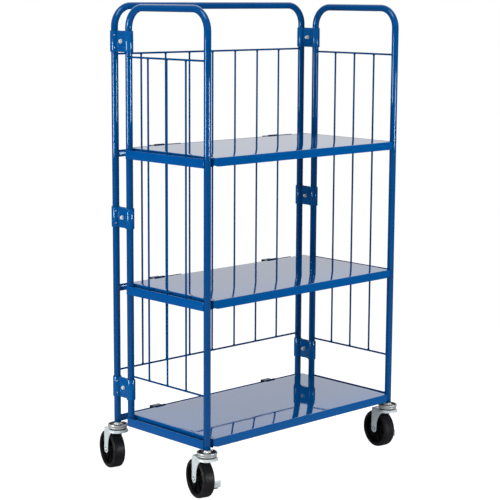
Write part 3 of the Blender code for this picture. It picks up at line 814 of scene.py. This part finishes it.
def axle_gap_shade(bm):
    """A black ring round the crimped end of the axle: painted shade for the gap there."""
    steps = ((0.0046, -0.0003), (0.0066, -0.0002), (0.0066, 0.0004), (0.0046, 0.0004))
    profile = [(radius, rise - AXLE_FACE) for radius, rise in steps]
    made = bmesh.new()
    lathe(made, profile + profile[:1], 28)
    absorb(bm, made, Z_TO_X)


def brake_arm(bm):
    """The side brake's pressed arm, hanging on the axle, with its front edge turned out as a pedal."""
    outline = [(-0.0070, -0.0385), (0.0085, -0.0385), *arc((0, 0), 0.0088, 0, 180, 18)]
    plate(bm, outline, SHEET_STEEL, Matrix.Translation((0.0245, 0, 0)) @ FLAT_TO_YZ, 0.0005)
    bend = [Vector((0.0246, -0.0084, height)) for height in (-0.0386, -0.0380, -0.0172, -0.0166)]
    sweep(bm, bend, [0.0010, 0.0015, 0.0015, 0.0010], 12)
    block(bm, (0.0250, -0.0096, -0.0387), (0.0670, -0.0074, -0.0166), 0.0009, 3)
    rib = [Vector((x, -0.0098, -0.0275)) for x in (0.0290, 0.0330, 0.0600, 0.0640)]
    sweep(bm, rib, [0.0006, 0.0016, 0.0016, 0.0006], 12)


def brake_shoe(bm):
    """A black block under the lever's foot: painted shade for the dark underside there."""
    block(bm, (0.0250, -0.0076, -0.0430), (0.0590, 0.0080, -0.0330), 0.0018, 3)


# ---------------------------------------------------------------- putting it together

piece(
    "back_frame_tube",
    made_by(u_tube, -HALF_WIDTH, HALF_WIDTH, BACK_TOP, lambda along, z: (along, BACK_Y, z)),
    FRAME_PAINT, "back_frame", ["back_tube"],
)
back_reach = HALF_WIDTH - TUBE
piece(
    "back_wires",
    made_by(
        wire_panel, (-back_reach, back_reach), BACK_WIRES, evenly(7, 0.1025),
        lambda along, z, offset: (along, BACK_Y + offset, z),
    ),
    WIRE_PAINT, "back_frame", ["back_wire_panel"],
)
for level, height in LEVELS.items():
    shelf = f"{level}_shelf"
    rail = made_by(back_rail, height)
    piece(f"back_shelf_rail_{level}", rail, RAIL_PAINT, "back_frame", [f"back_rail_{level}"])
    # The hinge eyes in near-black: painted shade.
    piece(f"hinge_eyes_{level}", made_by(hinge_eyes, height), HINGE_SHADE_PAINT, "back_frame")
    deck = made_by(tray, height + DECK_RISE)
    piece(f"tray_{level}", deck, DECK_PAINT, shelf, [f"shelf_{level}"])
    for hand, start in EYE_STARTS.items():
        axis = Vector((0, HINGE_Y, height + HINGE_RISE))
        ends = axis + X * (start - 0.002), axis + X * (start + EYE_LENGTH + PIN_REACH)
        pin = made_by(rod, *ends, PIN_RADIUS, 20)
        piece(f"pin_{level}_{hand}", pin, HINGE_SHADE_PAINT, shelf, [f"hinge_pin_{level}_{hand}"])

for hand, side in SIDES.items():
    body = f"side_frame_{hand}"
    x = side * HALF_WIDTH
    tube = made_by(u_tube, FRONT_Y, 0, SIDE_TOP, lambda along, z: (x, along, z))
    piece(f"side_frame_tube_{hand}", tube, FRAME_PAINT, body, [f"side_tube_{hand}"])
    wires = made_by(
        wire_panel, (FRONT_Y + TUBE, -TUBE), SIDE_WIRES, evenly(3, 0.0873, FRONT_Y / 2),
        lambda along, z, offset: (x + side * offset, along, z),
    )
    piece(f"side_wires_{hand}", wires, WIRE_PAINT, body, [f"side_wire_panel_{hand}"])
    for level, height in LEVELS.items():
        name = f"{level}_{hand}"
        rail = made_by(side_rail, side, height)
        piece(f"side_shelf_rail_{name}", rail, RAIL_PAINT, body, [f"side_rail_{name}"])
    for level, height in CLAMPS.items():
        name = f"{level}_{hand}"
        place = Matrix.Translation((x, 0, height))
        outward = place if side > 0 else place @ FLIP
        outer, inner = made_by(clamp_plate), made_by(clamp_plate)
        clamp_ribs(outer)
        for face, half, turned in (("outer", outer, outward), ("inner", inner, outward @ FLIP)):
            label, node = f"corner_plate_{face}_{name}", f"clamp_{face}_{name}"
            piece(label, half, CLAMP_PAINT, "back_frame", [node], turned)
        bolt, node = made_by(clamp_bolt), f"clamp_bolt_{name}"
        bolt_place = outward @ Matrix.Translation((0, BACK_Y / 2, 0))
        piece(f"corner_bolt_{name}", bolt, BOLT_ZINC, "back_frame", [node], bolt_place)
        # Bright zinc domes on the clamp: partly painted highlight.
        piece(f"corner_spots_{name}", made_by(clamp_spots), BOLT_ZINC, "back_frame", (), outward)

for end, y in (("front", FRONT_Y), ("rear", BACK_Y)):
    for hand, side in SIDES.items():
        name = f"{end}_{hand}"
        holder = f"side_frame_{hand}" if end == "front" else "back_frame"
        swivel, wheel = f"swivel_{name}", f"wheel_{name}"
        yaw = Matrix.Rotation(math.radians(YAWS[name]), 4, "Z")
        place = Matrix.Translation((side * HALF_WIDTH, y, 0)) @ yaw
        axle = place @ Matrix.Translation((0, TRAIL, WHEEL))
        about_axle = axle @ Z_TO_X
        core = made_by(caster_core)
        # The head's core in near-black zinc: painted shade in the cup.
        piece(f"head_core_{name}", core, HEAD_CORE_SHADE_ZINC, holder, [f"caster_head_{name}"], place)
        piece(f"head_band_{name}", made_by(head_band), HEAD_ZINC, holder, (), place)
        piece(f"head_nut_{name}", made_by(head_nut), BOLT_ZINC, holder, (), place)
        crown = made_by(fork_crown)
        fork_legs(crown)
        piece(f"fork_{name}", crown, ZINC, swivel, [f"caster_fork_{name}"], place)
        # The ring and balls in black: painted shade for the gap under the head.
        piece(f"race_{name}", made_by(ball_race), SHADOW_BLACK, swivel, (), place)
        bolt = made_by(axle_bolt, NUT_SEATS[end])
        piece(f"axle_{name}", bolt, BOLT_ZINC, swivel, [f"wheel_axle_{name}"], axle)
        # A black ring round the axle's end: painted shade.
        piece(f"axle_gap_shade_{name}", made_by(axle_gap_shade), SHADOW_BLACK, swivel, (), axle)
        piece(f"tyre_{name}", made_by(wheel_tyre), TYRE, wheel, [wheel], about_axle)
        piece(f"wheel_core_{name}", made_by(wheel_core), CORE, wheel, (), about_axle)
        if end == "front":
            brake = f"brake_{name}"
            lever = made_by(brake_arm)
            piece(f"brake_arm_{name}", lever, ZINC, brake, [f"brake_lever_{name}"], axle)
            # A black block under the pedal: painted shade.
            piece(f"brake_shoe_{name}", made_by(brake_shoe), SHADOW_BLACK, brake, (), axle)


# ---------------------------------------------------------------- floor, light and camera


FLOOR_RADIUS = 9
FLOOR_GAP = 0.0002
FLOOR_FADE = (0.7, 2.0)
FLOOR_GREY = (0.25, 0.07)
FLOOR_SEEN = 0.97
FLOOR_FILL = 0.6


def studio_floor():
    """A floor that is white to the camera and glows softly on the object, but is darker in reflections."""
    bm = bmesh.new()
    bmesh.ops.create_circle(bm, cap_ends=True, segments=96, radius=FLOOR_RADIUS)
    mesh = bpy.data.meshes.new("studio_floor")
    bm.to_mesh(mesh)
    bm.free()
    mesh.transform(Matrix.Translation((0, 0, -FLOOR_GAP)))
    made = Shader("studio_floor", 0.9, Specular_IOR_Level=0.0, Emission_Color=(1, 1, 1, 1))
    distance = made.add("ShaderNodeVectorMath", operation="LENGTH")
    made.join(made.place, distance.inputs[0])
    fade = made.add("ShaderNodeMapRange")
    for socket, value in zip(("From Min", "From Max", "To Min", "To Max"), (*FLOOR_FADE, *FLOOR_GREY)):
        fade.inputs[socket].default_value = value
    made.join(distance.outputs["Value"], fade.inputs["Value"])
    made.base(fade.outputs["Result"])
    path = made.add("ShaderNodeLightPath")
    glow = made.add("ShaderNodeMath", operation="MULTIPLY")
    glow.inputs[1].default_value = FLOOR_SEEN
    made.join(path.outputs["Is Camera Ray"], glow.inputs[0])
    fill = made.add("ShaderNodeMath", operation="MULTIPLY_ADD")
    fill.inputs[1].default_value = FLOOR_FILL
    made.join(path.outputs["Is Diffuse Ray"], fill.inputs[0])
    made.join(glow.outputs["Value"], fill.inputs[2])
    made.join(fill.outputs["Value"], made.main.inputs["Emission Strength"])
    mesh.materials.append(made.material)
    obj = bpy.data.objects.new("studio_floor", mesh)
    bpy.context.scene.collection.objects.link(obj)


LENS = 112.2
SENSOR = 36
VIEW_PLACE = (-3.506, -3.761, 1.537)
VIEW_AZIMUTH = math.radians(43.86)
VIEW_PITCH = math.radians(9.35)
VIEW_ROLL = math.radians(0.3325)
BEHIND = Vector((math.sin(VIEW_AZIMUTH), math.cos(VIEW_AZIMUTH), 0))
WALL_LEAN = 0.55
WALL_EDGE = (0.72, 1.0)
HORIZON_TOP = 0.06
HORIZON_LIGHT = (0.02, 0.85)
OVERHEAD_TOP = 0.30
OVERHEAD_LIGHT = 0.53
ROOM_LIGHT = 0.10
SKY_FILL = 0.25


def studio_world():
    """A bright wall behind the object, brighter higher up, and a dim room on the photographer's side."""
    world = bpy.data.worlds.new("studio_world")
    bpy.context.scene.world = world
    world.use_nodes = True
    tree = world.node_tree
    tree.nodes.clear()

    def add(kind, **values):
        made = tree.nodes.new(kind)
        for key, value in values.items():
            setattr(made, key, value)
        return made

    def mapped(value, low, high, to_low, to_high, kind="LINEAR"):
        made = add("ShaderNodeMapRange", interpolation_type=kind)
        for socket, number in zip(("From Min", "From Max", "To Min", "To Max"), (low, high, to_low, to_high)):
            made.inputs[socket].default_value = number
        tree.links.new(value, made.inputs["Value"])
        return made.outputs["Result"]

    place = add("ShaderNodeTexCoord")
    aim = add("ShaderNodeVectorMath", operation="DOT_PRODUCT")
    aim.inputs[1].default_value = (BEHIND.x, BEHIND.y, WALL_LEAN)
    parts = add("ShaderNodeSeparateXYZ")
    tree.links.new(place.outputs["Generated"], aim.inputs[0])
    tree.links.new(place.outputs["Generated"], parts.inputs["Vector"])
    wall = mapped(aim.outputs["Value"], *WALL_EDGE, ROOM_LIGHT, 1.0, "SMOOTHSTEP")
    rise = add("ShaderNodeMath", operation="ADD")
    horizon = mapped(parts.outputs["Z"], 0.0, HORIZON_TOP, *HORIZON_LIGHT)
    overhead = mapped(parts.outputs["Z"], HORIZON_TOP, OVERHEAD_TOP, 0.0, OVERHEAD_LIGHT)
    tree.links.new(horizon, rise.inputs[0])
    tree.links.new(overhead, rise.inputs[1])
    lit = add("ShaderNodeMath", operation="MULTIPLY")
    tree.links.new(wall, lit.inputs[0])
    tree.links.new(rise.outputs["Value"], lit.inputs[1])
    seen = add("ShaderNodeLightPath")
    fill = add("ShaderNodeMath", operation="MULTIPLY_ADD")
    fill.inputs[1].default_value = SKY_FILL
    tree.links.new(seen.outputs["Is Diffuse Ray"], fill.inputs[0])
    tree.links.new(lit.outputs["Value"], fill.inputs[2])
    pick = add("ShaderNodeMix", data_type="FLOAT")
    pick.inputs["B"].default_value = 1.0
    tree.links.new(fill.outputs["Value"], pick.inputs["A"])
    tree.links.new(seen.outputs["Is Camera Ray"], pick.inputs["Factor"])
    back = add("ShaderNodeBackground")
    back.inputs["Color"].default_value = (1, 1, 1, 1)
    out = add("ShaderNodeOutputWorld")
    tree.links.new(pick.outputs["Result"], back.inputs["Strength"])
    tree.links.new(back.outputs["Background"], out.inputs["Surface"])


AIM_TOP = 1.75


def softbox(name, turn, distance, height, size, power, glossy=True):
    """A soft light, turned about the object from the photographer's place, to the right if positive.

    It shines level, or down at AIM_TOP if it is higher. A light that isn't glossy has no reflection.
    """
    away = Matrix.Rotation(math.radians(turn), 3, "Z") @ -BEHIND
    data = bpy.data.lights.new(name, "AREA")
    data.shape = "RECTANGLE"
    data.size, data.size_y = size
    data.energy = power
    obj = bpy.data.objects.new(name, data)
    bpy.context.scene.collection.objects.link(obj)
    target = Z * min(height, AIM_TOP)
    obj.location = away * distance + Z * height
    obj.rotation_euler = (target - obj.location).to_track_quat("-Z", "Y").to_euler()
    obj.visible_camera = False
    obj.visible_glossy = glossy


def studio_camera():
    """The camera at the photographer's place."""
    data = bpy.data.cameras.new("camera")
    data.lens = LENS
    data.sensor_width = SENSOR
    camera = bpy.data.objects.new("camera", data)
    bpy.context.scene.collection.objects.link(camera)
    turn = Matrix.Rotation(-VIEW_AZIMUTH, 4, "Z") @ Matrix.Rotation(math.pi / 2 - VIEW_PITCH, 4, "X")
    turn = turn @ Matrix.Rotation(VIEW_ROLL, 4, "Z")
    camera.matrix_world = ORIGIN @ Matrix.Translation(VIEW_PLACE) @ turn
    bpy.context.scene.camera = camera


studio_floor()
studio_world()
softbox("left_box", -40, 4.0, 1.75, (2.4, 2.9), 84, glossy=False)
softbox("left_strip", -55, 4.0, 0.60, (1.0, 0.8), 54)
softbox("left_high_strip", -55, 4.0, 0.93, (0.4, 0.74), 40)
softbox("right_box", 54, 2.6, 1.75, (0.7, 1.9), 44, glossy=False)
softbox("right_strip", 54, 4.0, 0.60, (0.7, 0.8), 52)
softbox("top_box", -10, 1.4, 3.4, (1.4, 1.4), 34)
studio_camera()
bpy.context.scene.view_settings.view_transform = "Standard"
